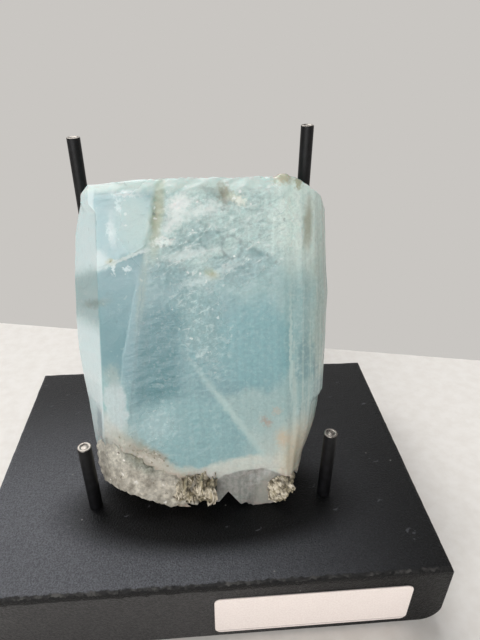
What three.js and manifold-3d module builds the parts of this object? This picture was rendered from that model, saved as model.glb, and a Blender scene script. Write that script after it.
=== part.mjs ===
// An aquamarine crystal leaning on a four-peg display block.
//
// Units are millimetres and +Z is up. The origin is the centre of the block's underside,
// the block's labelled front looks along -Y, and +X is to the right of a viewer facing it.
// The stone and the minerals that grew on it are drawn upright in their own frame, where
// X runs across the front face, Y into the stone and Z along its length, and are then
// leaned back against the two tall pegs.
import * as THREE from 'three';
import { mergeVertices } from 'three/addons/utils/BufferGeometryUtils.js';
import Module from 'manifold-3d';

const wasm = await Module();
wasm.setup();

// Display block: a 3/4 inch board
const BLOCK_WIDTH = 106.5;
const BLOCK_DEPTH = 77.8;
const BLOCK_HEIGHT = 19.05;
const BLOCK_TOP_CHAMFER = 1.2;
const BLOCK_CORNER_RADIUS = 1.6;
const BLOCK_LOWER_RIGHT_RADIUS = 5;

// Pegs: 1/8 inch steel rod pressed into drilled holes
const PEG_DIAMETER = 3.175;
const PEG_HOLE_DEPTH = 12;
const PEG_RIM = 0.35;
const PEG_DISH = 0.25;
const PEG_SIDES = 24;
const PEGS = {
  peg_front_left: { x: -27.6, y: -15.9, rise: 19.8 },
  peg_front_right: { x: 28.9, y: -16.0, rise: 20.3 },
  peg_back_left: { x: -28.9, y: 26.0, rise: 78.5 },
  peg_back_right: { x: 27.0, y: 26.2, rise: 80.7 },
};

// Label: a 1 3/4 by 1/2 inch sticker
const LABEL_WIDTH = 44.45;
const LABEL_HEIGHT = 12.7;
const LABEL_THICKNESS = 0.2;
const LABEL_RADIUS = 1.5;
const LABEL_X = 22.7;
const LABEL_Z = 8.1;
const LABEL_GAP = 0.05;

// Space kept between pieces that touch in the real object
const FIT = 0.3;

// Stone: overall form in its own upright frame
const LEAN_DEGREES = 21;
const STONE_Y = -18.4;
const STONE_Z = 24;
const STONE_TOP = 73.6;
const STONE_BOTTOM = -9;
const STONE_DEPTH = 26.5;
const SIDE_DEPTH = 13.5;
const FRONT_RIGHT_EDGE = 18.5;
const LEAN = THREE.MathUtils.degToRad(LEAN_DEGREES);

// The stone's long edges. Each point is [height, across, depth]; between points they run straight.
const SEAM_EDGE = [
  [-9, -18.5, 0.6],
  [14, -19.8, 0.3],
  [26, -19.3, 0],
  [34, -18.3, 0],
  [46, -15.4, 0],
  [58, -12.2, 0],
  [75, -9.6, 0],
];
const LEFT_FRONT_EDGE = [
  [-9, -23.2, 5],
  [14, -24.7, 3.6],
  [34, -23.7, 2.8],
  [55, -23, 2.5],
  [75, -22, 2.5],
];
const LEFT_SIDE_EDGE = [
  [-9, -25, SIDE_DEPTH],
  [3, -27.7, SIDE_DEPTH],
  [12, -28.9, SIDE_DEPTH],
  [18, -29.2, SIDE_DEPTH],
  [26, -30.3, SIDE_DEPTH],
  [34, -31, SIDE_DEPTH],
  [41, -31.1, SIDE_DEPTH],
  [52, -30.6, SIDE_DEPTH],
  [63, -29.6, SIDE_DEPTH],
  [75, -27.9, SIDE_DEPTH],
];
const RIGHT_SIDE_EDGE = [
  [-9, 23, SIDE_DEPTH],
  [2, 24, SIDE_DEPTH],
  [7, 25.4, SIDE_DEPTH],
  [10.5, 27.1, SIDE_DEPTH],
  [14.5, 28.7, SIDE_DEPTH],
  [20.6, 29.8, SIDE_DEPTH],
  [21.8, 30.7, SIDE_DEPTH],
  [31, 31.3, SIDE_DEPTH],
  [39, 31.5, SIDE_DEPTH],
  [46.5, 32, SIDE_DEPTH],
  [53, 31.5, SIDE_DEPTH],
  [75, 30.8, SIDE_DEPTH],
];
const REAR_RIGHT_EDGE = [
  [-9, 16, STONE_DEPTH - 2],
  [20, 19, STONE_DEPTH],
  [75, 18.4, STONE_DEPTH],
];
const REAR_LEFT_EDGE = [
  [-9, -19, STONE_DEPTH - 1.5],
  [26, -23, STONE_DEPTH + 1],
  [75, -22, STONE_DEPTH + 1],
];
// The right front corner is worn round: parts of the way across and back at each long edge
const RIGHT_ROUNDING = [
  [0.1, 0.015],
  [0.16, 0.05],
  [0.34, 0.07],
  [0.42, 0.13],
  [0.62, 0.24],
  [0.8, 0.45],
  [0.92, 0.7],
];
const ROW_HEIGHTS = [-9, -3, 2, 7, 10.5, 14, 20.6, 21.8, 27, 34, 41, 46.5, 52, 58, 63, 69, 75];

// Flat cuts at the stone's ends, each a point on the cut and the direction that it faces
const END_CUTS = [
  { at: [0, 0, 70.9], faces: [0, -0.86, 0.51] },
  { at: [-24.2, 0, 72.2], faces: [-0.53, 0, 0.85] },
  { at: [-27.2, 0, 70.2], faces: [-0.955, 0, 0.296] },
  { at: [22.5, 0, 72.8], faces: [0.54, -0.06, 0.84] },
  { at: [28.2, 0, 69], faces: [0.877, -0.05, 0.48] },
  { at: [0, 0, STONE_TOP], faces: [0, 0, 1] },
  { at: [0, STONE_DEPTH - 2.5, STONE_TOP - 1], faces: [0.05, 0.62, 0.78] },
];

// Raised slab at the upper left of the front, and a broken ledge on the rear
const SLAB_OUTLINE = [
  [-22.9, 54.6],
  [-20, 55.5],
  [-15.5, 57.1],
  [-11.9, 58.9],
  [-10.4, 62.7],
  [-9.7, 67.6],
  [-9.2, 71.2],
  [-20.6, 71.2],
  [-21.8, 69],
];
const SLAB_HEIGHT = 0.9;
const REAR_LEDGE_OUTLINE = [
  [-16, 22],
  [2, 17],
  [12, 21],
  [15, 42],
  [11, 66],
  [-6, 68],
  [-14, 52],
];
const REAR_LEDGE_HEIGHT = 1.1;

// Grooves that run up the rounded right corner: across, depth, and the heights they span
const GROOVES = [
  [20.3, -0.05, 18, 47],
  [23.4, 0.55, 24, 66],
  [26.6, 2.1, 30, 62],
  [29.1, 4.6, 22, 60],
  [30.7, 7.6, 26, 56],
];
const GROOVE_SIZE = 0.5;

// Hollow below the front's upper edge, lined with dirt
const PIT_CENTRE = [5.7, 0, 70];
const PIT_RADII = [1.7, 0.9, 2.3];

// Broken base: the stone's lower front margin and the spalled hollow beside the notch
const CHIP_OUTLINE = [
  [1.6, -12],
  [1.6, 5.4],
  [4.8, 4.4],
  [7.8, 3.9],
  [10.6, 5.2],
  [13.2, 5.8],
  [18.6, 5.3],
  [18.6, -12],
];
const CHIP_DEPTH = 0.9;
const NOTCH_OUTLINE = [
  [2.4, -6],
  [5.1, -1.7],
  [6.1, -2.7],
  [8.6, -6],
];
const NOTCH_DEPTH = 7;

// Sugary crust at the lower left, a rounded lump that is flatter than a ball
const CRUST_CENTRE = [-16.4, 5.4, 4];
const CRUST_RADII = [13.2, 6.4, 8.3];
const CRUST_SLOPE = THREE.MathUtils.degToRad(19);
const CRUST_RIGHT_END = -7.2;
const CRUST_STAND = 0.7;
const CRUST_UNDERCUT = { at: [-15.2, -0.7, -1.5], faces: [-0.19, -0.23, -1] };
const LUMP_SQUARENESS = 3.2;

// Mica: stacked books of thin plates on a common root
const MICA_CLUSTERS = {
  mica_cluster_left: {
    root: [-2.3, 2.3, 0.6],
    radii: [4.3, 2.7, 5],
    plates: 9,
    first: -6,
    pitch: 0.95,
    plateRadius: 4.6,
    plateDepth: -0.1,
    plateHeight: 0.9,
    turn: 24,
    from: -6.8,
    to: 2.4,
  },
  mica_cluster_right: {
    root: [19.4, 5.4, -1],
    radii: [4.1, 4.6, 4.8],
    plates: 8,
    first: 16.2,
    pitch: 0.9,
    plateRadius: 4.3,
    plateDepth: 2.3,
    plateHeight: -0.9,
    turn: -22,
    from: 15,
    to: 24.4,
  },
};
const PLATE_THICKNESS = 0.75;

const MATERIALS = {
  aquamarine: { color: 0x9cc4c9, roughness: 0.28, metalness: 0, transparent: true, opacity: 0.85 },
  feldspar: { color: 0xb4b0a2, roughness: 0.75, metalness: 0 },
  mica: { color: 0x958d78, roughness: 0.4, metalness: 0.1 },
  paintedWood: { color: 0x2c2c2f, roughness: 0.55, metalness: 0 },
  blackSteel: { color: 0x151517, roughness: 0.3, metalness: 0.4 },
  label: { color: 0xe9ded8, roughness: 0.6, metalness: 0 },
};

// Turns a closed geometry into a solid that can be joined and cut
function solid(geometry) {
  const bare = geometry.clone();
  bare.deleteAttribute('normal');
  bare.deleteAttribute('uv');
  const merged = mergeVertices(bare, 1e-4);
  const vertProperties = Float32Array.from(merged.attributes.position.array);
  const triVerts = Uint32Array.from(merged.index.array);
  const mesh = new wasm.Mesh({ numProp: 3, vertProperties, triVerts });
  mesh.merge();
  return new wasm.Manifold(mesh);
}

function geometryOf(manifold) {
  const mesh = manifold.getMesh();
  const geometry = new THREE.BufferGeometry();
  geometry.setAttribute('position', new THREE.BufferAttribute(mesh.vertProperties, 3));
  geometry.setIndex(new THREE.BufferAttribute(mesh.triVerts, 1));
  geometry.computeVertexNormals();
  return geometry;
}

function node(name, geometry, material) {
  const mesh = new THREE.Mesh(geometry, new THREE.MeshStandardMaterial(MATERIALS[material]));
  mesh.name = name;
  return mesh;
}

// A long edge's place across and into the stone at one height
function edgeAt(edge, height) {
  let below = edge[0];
  for (const point of edge) {
    if (point[0] >= height) {
      const share = point[0] === below[0] ? 0 : (height - below[0]) / (point[0] - below[0]);
      const across = THREE.MathUtils.lerp(below[1], point[1], share);
      const depth = THREE.MathUtils.lerp(below[2], point[2], share);
      return [across, depth];
    }
    below = point;
  }
  return [below[1], below[2]];
}

// The stone's outline at one height, from the seam edge round by the right and the rear
function sectionAt(height) {
  const right = edgeAt(RIGHT_SIDE_EDGE, height);
  const rounded = RIGHT_ROUNDING.map(([across, back]) => [
    THREE.MathUtils.lerp(FRONT_RIGHT_EDGE, right[0], across),
    right[1] * back,
  ]);
  return [
    edgeAt(SEAM_EDGE, height),
    [FRONT_RIGHT_EDGE, 0],
    ...rounded,
    right,
    edgeAt(REAR_RIGHT_EDGE, height),
    edgeAt(REAR_LEFT_EDGE, height),
    edgeAt(LEFT_SIDE_EDGE, height),
    edgeAt(LEFT_FRONT_EDGE, height),
  ];
}

// A many-sided column whose corners are moved onto the stone's long edges
function prismBody() {
  const sections = ROW_HEIGHTS.map(sectionAt);
  const sides = sections[0].length;
  const rows = ROW_HEIGHTS.length - 1;
  const geometry = new THREE.CylinderGeometry(1, 1, 1, sides, rows);
  const position = geometry.attributes.position;
  for (let i = 0; i < position.count; i += 1) {
    const x = position.getX(i);
    const y = position.getY(i);
    const z = position.getZ(i);
    const row = Math.round((y + 0.5) * rows);
    const section = sections[row];
    let across = 0;
    let depth = STONE_DEPTH / 2;
    if (Math.hypot(x, z) > 0.5) {
      const turn = Math.round((Math.atan2(x, z) / (2 * Math.PI)) * sides);
      [across, depth] = section[(turn + sides) % sides];
    }
    position.setXYZ(i, across, depth, ROW_HEIGHTS[row]);
  }
  return solid(geometry);
}

// Everything on the far side of a plane, as a large box
function beyondPlane(at, faces) {
  const size = 300;
  const direction = new THREE.Vector3(...faces).normalize();
  const box = new THREE.BoxGeometry(size, size, size);
  box.translate(0, 0, size / 2);
  box.applyQuaternion(new THREE.Quaternion().setFromUnitVectors(new THREE.Vector3(0, 0, 1), direction));
  box.translate(...at);
  return solid(box);
}

// Everything below the top of the block, as seen from the leaning stone's own frame
function belowBlockTop(gap) {
  const up = [0, -Math.sin(LEAN), Math.cos(LEAN)];
  const drop = BLOCK_HEIGHT + gap - STONE_Z;
  return beyondPlane([0, up[1] * drop, up[2] * drop], up.map((part) => -part));
}

// An upright outline in the plane of the front face, drawn out from one depth to another
function panel(outline, fromDepth, toDepth) {
  const shape = new THREE.Shape(outline.map(([x, z]) => new THREE.Vector2(x, z)));
  const geometry = new THREE.ExtrudeGeometry(shape, { depth: toDepth - fromDepth, bevelEnabled: false });
  geometry.rotateX(Math.PI / 2);
  geometry.translate(0, toDepth, 0);
  return solid(geometry);
}

// Smooth lumps of one size, made from waves that cross at odd angles
function lumps(x, y, z, size) {
  const k = (2 * Math.PI) / size;
  const first = Math.sin(k * (x + 0.6 * z) + 1.3 * Math.sin(k * 0.7 * y));
  const second = Math.sin(k * (0.8 * z - 0.5 * x) + 1.7 * Math.cos(k * 0.5 * x));
  const third = Math.cos(k * (0.9 * y + 0.4 * z) + 0.8 * Math.sin(k * x));
  return (first + second + third) / 3;
}

// A rounded, squarish lump with an uneven skin
function roughLump(centre, radii, slope, squareness, grow, relief) {
  const geometry = new THREE.SphereGeometry(1, 30, 20);
  const position = geometry.attributes.position;
  for (let i = 0; i < position.count; i += 1) {
    const unit = new THREE.Vector3().fromBufferAttribute(position, i);
    const norm = (
      Math.abs(unit.x) ** squareness + Math.abs(unit.y) ** squareness + Math.abs(unit.z) ** squareness
    ) ** (1 / squareness);
    const place = unit.divideScalar(norm);
    place.multiply(new THREE.Vector3(...radii).addScalar(grow));
    const skin = relief * (lumps(place.x, place.y, place.z, 7) + 0.5 * lumps(place.z, place.x, place.y, 3.4));
    place.addScaledVector(place.clone().normalize(), skin);
    position.setXYZ(i, place.x, place.y, place.z);
  }
  geometry.rotateY(slope);
  geometry.translate(...centre);
  return solid(geometry);
}

// The broken surface under the stone, as the top of a block of ground that is taken away
function brokenBase() {
  const width = 90;
  const depth = 60;
  const height = 20;
  const geometry = new THREE.BoxGeometry(width, depth, height, 36, 24, 1);
  geometry.translate(0, 16, 0);
  const position = geometry.attributes.position;
  const restSlope = Math.tan(LEAN);
  const restHeight = (BLOCK_HEIGHT + FIT - STONE_Z) / Math.cos(LEAN);
  for (let i = 0; i < position.count; i += 1) {
    if (position.getZ(i) > 0) {
      const x = position.getX(i);
      const y = position.getY(i);
      const rest = restHeight + restSlope * y;
      const leftRise = 0.16 * Math.max(0, -14 - x);
      const hollow = 1.1 + 1.1 * lumps(x, y, 0, 13) + 0.35 * lumps(y, x, 3, 5);
      position.setZ(i, rest + leftRise + Math.max(0, hollow));
    } else {
      position.setZ(i, -60);
    }
  }
  return solid(geometry);
}

function slab() {
  const [seamX] = edgeAt(SEAM_EDGE, 63);
  const [edgeX, edgeDepth] = edgeAt(LEFT_FRONT_EDGE, 63);
  const facing = [-edgeDepth, edgeX - seamX, 0];
  const raised = panel(SLAB_OUTLINE, -3, 6);
  return raised.subtract(beyondPlane([seamX, -SLAB_HEIGHT, 63], facing));
}

function rearLedge() {
  return panel(REAR_LEDGE_OUTLINE, STONE_DEPTH - 3, STONE_DEPTH + REAR_LEDGE_HEIGHT);
}

function groove([across, depth, low, high]) {
  const geometry = new THREE.BoxGeometry(GROOVE_SIZE, GROOVE_SIZE, high - low);
  geometry.rotateZ(Math.PI / 4);
  geometry.translate(across, depth, (low + high) / 2);
  return solid(geometry);
}

function pit() {
  const geometry = new THREE.IcosahedronGeometry(1, 2);
  geometry.scale(...PIT_RADII);
  geometry.translate(...PIT_CENTRE);
  return solid(geometry);
}

function crustLump(grow) {
  return roughLump(CRUST_CENTRE, CRUST_RADII, CRUST_SLOPE, LUMP_SQUARENESS, grow, 0.45);
}

function micaRoot(cluster, grow) {
  return roughLump(cluster.root, cluster.radii, 0, 2.4, grow, 0.1);
}

// One cluster: plates that stand in a row like leaves of a book, on a root inside the stone
function micaCluster(cluster, clearOf) {
  let books = null;
  for (let i = 0; i < cluster.plates; i += 1) {
    const swing = Math.sin(i * 2.4);
    const plate = new THREE.CylinderGeometry(1, 1, PLATE_THICKNESS, 6);
    const radius = cluster.plateRadius * (0.86 + 0.14 * Math.cos(i * 1.7));
    plate.scale(radius, 1, radius * 0.72);
    plate.rotateZ(Math.PI / 2);
    plate.rotateX(i * 0.5);
    plate.rotateY(THREE.MathUtils.degToRad(cluster.turn + 13 * swing));
    plate.rotateZ(THREE.MathUtils.degToRad(10 * Math.cos(i * 1.9)));
    plate.translate(
      cluster.first + i * cluster.pitch,
      cluster.plateDepth + 0.35 * swing,
      cluster.plateHeight + 0.6 * Math.cos(i * 2.9),
    );
    books = books ? books.add(solid(plate)) : solid(plate);
  }
  const whole = micaRoot(cluster, 0).add(books.subtract(clearOf));
  const left = beyondPlane([cluster.from, 0, 0], [-1, 0, 0]);
  const right = beyondPlane([cluster.to, 0, 0], [1, 0, 0]);
  return whole.subtract(left).subtract(right).subtract(belowBlockTop(FIT));
}

// The body of the stone grown a little towards the front and the sides
function grownBody(growth) {
  const body = prismBody();
  const shifts = [
    [0, -growth, 0],
    [growth, 0, 0],
    [-growth, 0, 0],
  ];
  return shifts.reduce((grown, shift) => grown.add(body.translate(shift)), body);
}

function stone() {
  let body = prismBody().add(slab()).add(rearLedge());
  for (const cut of END_CUTS) {
    body = body.subtract(beyondPlane(cut.at, cut.faces));
  }
  for (const line of GROOVES) {
    body = body.subtract(groove(line));
  }
  body = body.subtract(pit()).subtract(brokenBase());
  body = body.subtract(panel(CHIP_OUTLINE, -6, CHIP_DEPTH));
  body = body.subtract(panel(NOTCH_OUTLINE, -6, NOTCH_DEPTH));
  const crustPocket = crustLump(FIT).subtract(beyondPlane([CRUST_RIGHT_END + FIT, 0, 0], [1, 0, 0]));
  body = body.subtract(crustPocket);
  for (const cluster of Object.values(MICA_CLUSTERS)) {
    body = body.subtract(micaRoot(cluster, FIT));
  }
  return largestPiece(body);
}

function crust() {
  const micaSide = beyondPlane([CRUST_RIGHT_END, 0, 0], [1, 0, 0]);
  const undercut = beyondPlane(CRUST_UNDERCUT.at, CRUST_UNDERCUT.faces);
  const skin = crustLump(0).intersect(grownBody(CRUST_STAND)).subtract(undercut);
  return largestPiece(skin.subtract(micaSide).subtract(belowBlockTop(FIT)));
}

// Drops any crumb that the cuts leave loose
function largestPiece(body) {
  return body.decompose().reduce((best, piece) => (piece.volume() > best.volume() ? piece : best));
}

function roundedOutline(width, height, radii) {
  const [lowerRight, upperRight, upperLeft, lowerLeft] = radii;
  const x = width / 2;
  const y = height / 2;
  const shape = new THREE.Shape();
  shape.moveTo(-x + lowerLeft, -y);
  shape.lineTo(x - lowerRight, -y);
  shape.absarc(x - lowerRight, -y + lowerRight, lowerRight, -Math.PI / 2, 0);
  shape.lineTo(x, y - upperRight);
  shape.absarc(x - upperRight, y - upperRight, upperRight, 0, Math.PI / 2);
  shape.lineTo(-x + upperLeft, y);
  shape.absarc(-x + upperLeft, y - upperLeft, upperLeft, Math.PI / 2, Math.PI);
  shape.lineTo(-x, -y + lowerLeft);
  shape.absarc(-x + lowerLeft, -y + lowerLeft, lowerLeft, Math.PI, 1.5 * Math.PI);
  return shape;
}

function chamferedOutline(width, height, chamfer) {
  const x = width / 2;
  const y = height / 2;
  return new THREE.Shape([
    new THREE.Vector2(-x, -y),
    new THREE.Vector2(x, -y),
    new THREE.Vector2(x, y - chamfer),
    new THREE.Vector2(x - chamfer, y),
    new THREE.Vector2(-x + chamfer, y),
    new THREE.Vector2(-x, y - chamfer),
  ]);
}

function extrudeCentred(shape, length) {
  const geometry = new THREE.ExtrudeGeometry(shape, { depth: length, bevelEnabled: false, curveSegments: 6 });
  geometry.translate(0, 0, -length / 2);
  return geometry;
}

// Board with worn top edges, round upright corners and a rounder edge at the lower right
function displayBase() {
  const seenFromAbove = extrudeCentred(
    roundedOutline(BLOCK_WIDTH, BLOCK_DEPTH, Array(4).fill(BLOCK_CORNER_RADIUS)),
    BLOCK_HEIGHT,
  );
  const seenFromFront = extrudeCentred(
    roundedOutline(BLOCK_WIDTH, BLOCK_HEIGHT, [
      BLOCK_LOWER_RIGHT_RADIUS,
      BLOCK_TOP_CHAMFER,
      BLOCK_TOP_CHAMFER,
      BLOCK_CORNER_RADIUS,
    ]),
    BLOCK_DEPTH + 2,
  ).rotateX(Math.PI / 2);
  const seenFromSide = extrudeCentred(
    chamferedOutline(BLOCK_DEPTH, BLOCK_HEIGHT, BLOCK_TOP_CHAMFER),
    BLOCK_WIDTH + 2,
  ).rotateX(Math.PI / 2).rotateZ(Math.PI / 2);
  let board = solid(seenFromAbove).intersect(solid(seenFromFront)).intersect(solid(seenFromSide));
  board = board.translate([0, 0, BLOCK_HEIGHT / 2]);
  for (const peg of Object.values(PEGS)) {
    const hole = new THREE.CylinderGeometry(
      PEG_DIAMETER / 2 + FIT,
      PEG_DIAMETER / 2 + FIT,
      PEG_HOLE_DEPTH * 2,
      PEG_SIDES,
    );
    hole.rotateX(Math.PI / 2);
    hole.translate(peg.x, peg.y, BLOCK_HEIGHT);
    board = board.subtract(solid(hole));
  }
  return geometryOf(board);
}

// Rod with a worn rim round a slightly dished, bare end
function pegGeometry(rise) {
  const radius = PEG_DIAMETER / 2;
  const length = rise + PEG_HOLE_DEPTH - FIT;
  const profile = [
    new THREE.Vector2(0, 0),
    new THREE.Vector2(radius, 0),
    new THREE.Vector2(radius, length - PEG_RIM),
    new THREE.Vector2(radius - PEG_RIM / 3, length - PEG_RIM / 4),
    new THREE.Vector2(radius - PEG_RIM, length),
    new THREE.Vector2(radius - 2 * PEG_RIM, length - PEG_DISH / 2),
    new THREE.Vector2(0, length - PEG_DISH),
  ];
  return new THREE.LatheGeometry(profile, PEG_SIDES).rotateX(Math.PI / 2);
}

function labelGeometry() {
  const outline = roundedOutline(LABEL_WIDTH, LABEL_HEIGHT, Array(4).fill(LABEL_RADIUS));
  return extrudeCentred(outline, LABEL_THICKNESS).rotateX(Math.PI / 2);
}

const model = new THREE.Group();
model.add(node('display_base', displayBase(), 'paintedWood'));

for (const [name, peg] of Object.entries(PEGS)) {
  const rod = node(name, pegGeometry(peg.rise), 'blackSteel');
  rod.position.set(peg.x, peg.y, BLOCK_HEIGHT - PEG_HOLE_DEPTH + FIT);
  model.add(rod);
}

const label = node('front_label', labelGeometry(), 'label');
label.position.set(LABEL_X, -BLOCK_DEPTH / 2 - LABEL_GAP - LABEL_THICKNESS / 2, LABEL_Z);
model.add(label);

const specimen = new THREE.Group();
specimen.position.set(0, STONE_Y, STONE_Z);
specimen.rotation.x = -LEAN;
specimen.add(node('aquamarine_crystal', geometryOf(stone()), 'aquamarine'));
specimen.add(node('matrix_crust', geometryOf(crust()), 'feldspar'));
const keepOut = grownBody(FIT);
for (const [name, cluster] of Object.entries(MICA_CLUSTERS)) {
  specimen.add(node(name, geometryOf(largestPiece(micaCluster(cluster, keepOut))), 'mica'));
}
model.add(specimen);

export default model;
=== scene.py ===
import math
import random

import bpy
from mathutils import Matrix, Vector


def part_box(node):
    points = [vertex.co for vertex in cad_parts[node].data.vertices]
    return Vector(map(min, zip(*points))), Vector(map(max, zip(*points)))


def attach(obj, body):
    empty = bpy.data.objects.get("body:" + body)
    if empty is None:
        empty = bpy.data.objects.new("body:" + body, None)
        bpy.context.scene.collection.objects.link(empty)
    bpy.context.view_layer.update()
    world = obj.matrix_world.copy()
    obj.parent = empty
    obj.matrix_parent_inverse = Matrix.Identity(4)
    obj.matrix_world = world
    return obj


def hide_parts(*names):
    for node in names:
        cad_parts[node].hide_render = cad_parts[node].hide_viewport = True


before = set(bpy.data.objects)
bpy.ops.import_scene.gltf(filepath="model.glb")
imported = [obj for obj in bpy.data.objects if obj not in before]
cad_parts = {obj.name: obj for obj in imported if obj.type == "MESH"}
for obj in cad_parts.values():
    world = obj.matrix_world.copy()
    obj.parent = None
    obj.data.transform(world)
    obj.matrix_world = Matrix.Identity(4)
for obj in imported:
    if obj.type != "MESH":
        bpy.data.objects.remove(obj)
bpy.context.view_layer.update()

MM = 0.001

# The stone's own upright frame: X across its front face, Y into the stone, Z along its length
LEAN = math.radians(21)
STONE_ORIGIN = Vector((0, -18.4 * MM, 24 * MM))
STONE_FRAME = Matrix.Translation(STONE_ORIGIN) @ Matrix.Rotation(-LEAN, 4, "X")

# Camera, matched to the photograph's view
CAMERA_PLACE = Vector((0.5, -103.2, 123.9)) * MM
CAMERA_ANGLES = (math.radians(58.8), math.radians(-0.31), math.radians(-4.42))
CAMERA_LENS = 29.02
CAMERA_NEAR = 0.005

BLOCK_LOW, BLOCK_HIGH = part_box("display_base")
BLOCK_TOP = BLOCK_HIGH.z


def make_camera():
    data = bpy.data.cameras.new("camera")
    data.lens = CAMERA_LENS
    data.sensor_width = 36
    data.clip_start = CAMERA_NEAR
    camera = bpy.data.objects.new("camera", data)
    camera.location = CAMERA_PLACE
    camera.rotation_euler = CAMERA_ANGLES
    bpy.context.collection.objects.link(camera)
    bpy.context.scene.camera = camera


make_camera()


# Tools for materials

# Settings that repeat. Inputs go by number: MapRange takes a value, the range that it comes from and
# the range that it is stretched over, Mix a factor and two colours (6 and 7), and Math two values.
SMOOTH = {"interpolation_type": "SMOOTHSTEP"}
COLOUR = {"data_type": "RGBA"}
TIMES = {"operation": "MULTIPLY"}
PLUS = {"operation": "ADD"}
MINUS = {"operation": "SUBTRACT"}
LARGER = {"operation": "MAXIMUM"}


def linear(hex_colour):
    """Linear colour of an sRGB hex value such as "8fb4b8"."""
    parts = [int(hex_colour[i:i + 2], 16) / 255 for i in (0, 2, 4)]
    return tuple(p / 12.92 if p <= 0.04045 else ((p + 0.055) / 1.055) ** 2.4 for p in parts) + (1.0,)


def add(tree, kind, inputs=None, **settings):
    """Adds a node of a kind such as "Math", sets its settings, and sets or links its inputs. A node
    that is given as an input is linked from the first of its outputs that is in use."""
    node = tree.nodes.new("ShaderNode" + kind)
    for name, value in settings.items():
        setattr(node, name, value)
    for socket, value in (inputs or {}).items():
        if isinstance(value, bpy.types.Node):
            value = next(output for output in value.outputs if output.enabled)
        if isinstance(value, bpy.types.NodeSocket):
            tree.links.new(value, node.inputs[socket])
        else:
            node.inputs[socket].default_value = value
    return node


def new_material(name):
    material = bpy.data.materials.new(name)
    material.use_nodes = True
    material.node_tree.nodes.clear()
    return material, material.node_tree


def tinted(tree, colour, tint, *factors):
    """Lays a tint, a hex value or a mixed colour, over a colour, as strongly as its factors say
    when they are multiplied."""
    strength = factors[0]
    for factor in factors[1:]:
        strength = add(tree, "Math", {0: strength, 1: factor}, **TIMES)
    if isinstance(tint, str):
        tint = linear(tint)
    return add(tree, "Mix", {0: strength, 6: colour, 7: tint}, **COLOUR)


def shaded(tree, colour, pattern, low, high):
    """Darkens and brightens a colour, by low to high times, where a pattern goes from 0.3 to 0.7."""
    times = add(tree, "MapRange", {0: pattern, 1: 0.3, 2: 0.7, 3: low, 4: high}, **SMOOTH)
    return add(tree, "Mix", {0: 1.0, 6: colour, 7: times}, blend_type="MULTIPLY", **COLOUR)


def within(tree, pattern, low, high, mask):
    """Picks the parts of a pattern from low to high, and keeps them to the places of a mask."""
    picked = add(tree, "MapRange", {0: pattern, 1: low, 2: high}, **SMOOTH)
    return add(tree, "Math", {0: picked, 1: mask}, **TIMES)


def stone_places(tree):
    """Object coordinates turned into the stone's upright frame, in millimetres."""
    places = add(tree, "TexCoord")
    return add(tree, "Mapping", {
        "Vector": places.outputs["Object"], "Location": STONE_ORIGIN,
        "Rotation": (-LEAN, 0, 0), "Scale": (MM, MM, MM),
    }, vector_type="TEXTURE")


def block_places(tree):
    """Object coordinates in millimetres."""
    places = add(tree, "TexCoord")
    return add(tree, "Mapping", {
        "Vector": places.outputs["Object"], "Scale": (MM, MM, MM),
    }, vector_type="TEXTURE")


def shaken(tree, places, grain_mm, reach_mm):
    """Places pushed about by a noise, so that the outlines of patches wander."""
    noise = add(tree, "TexNoise", {"Vector": places, "Scale": 1 / grain_mm, "Detail": 4.0})
    centred = add(tree, "VectorMath", {0: noise.outputs["Color"], 1: (0.5, 0.5, 0.5)}, **MINUS)
    reach = (reach_mm,) * 3
    return add(tree, "VectorMath", {0: centred, 1: reach, 2: places}, operation="MULTIPLY_ADD")


def patch(tree, places, centre, radii, turn=0.0, soft=0.3, strength=1.0, depth=(10, 60)):
    """Strength inside an oval seen from the front, 0 outside it, with a soft edge. Depth gives how
    deep in the stone its middle lies and how far it reaches from there, in millimetres."""
    middle = Vector((centre[0], depth[0], centre[1]))
    if turn:
        places = add(tree, "VectorRotate", {
            "Vector": places, "Center": middle, "Angle": math.radians(-turn),
        }, rotation_type="Y_AXIS")
    sizes = Vector((1 / radii[0], 1 / depth[1], 1 / radii[1]))
    local = add(tree, "VectorMath", {
        0: places, 1: sizes, 2: tuple(-m * k for m, k in zip(middle, sizes)),
    }, operation="MULTIPLY_ADD")
    far = add(tree, "VectorMath", {0: local}, operation="LENGTH")
    return add(tree, "MapRange", {0: far, 1: 1 - soft, 2: 1 + soft, 3: strength, 4: 0.0}, **SMOOTH)


def beyond(tree, places, point, faces, soft_mm=0.4):
    """1 past a line seen from the front, on the side that it faces, 0 before it."""
    facing = Vector((faces[0], 0, faces[1])).normalized()
    start = facing.dot(Vector((point[0], 0, point[1])))
    along = add(tree, "VectorMath", {0: places, 1: facing}, operation="DOT_PRODUCT")
    return add(tree, "MapRange", {0: along, 1: start - soft_mm, 2: start + soft_mm}, **SMOOTH)


# Half the width of the step between cells with a speck and cells without one
LOT_STEP = 0.01


def specks(tree, places, pitch_mm, radius, share):
    """Small spots: one in each cell of a pattern, in that share of its cells."""
    cells = add(tree, "TexVoronoi", {"Vector": places, "Scale": 1 / pitch_mm})
    spot = add(tree, "MapRange", {0: cells, 1: radius * 0.6, 2: radius, 3: 1.0, 4: 0.0}, **SMOOTH)
    lot = add(tree, "SeparateColor", {"Color": cells.outputs["Color"]})
    drawn = add(tree, "MapRange", {
        0: lot.outputs["Red"], 1: 1 - share - LOT_STEP, 2: 1 - share + LOT_STEP,
    }, **SMOOTH)
    return add(tree, "Math", {0: spot, 1: drawn}, **TIMES)


# Tools for meshes

def only(piece):
    """Makes a piece the one selected and active object."""
    bpy.ops.object.select_all(action="DESELECT")
    piece.select_set(True)
    bpy.context.view_layer.objects.active = piece


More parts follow.
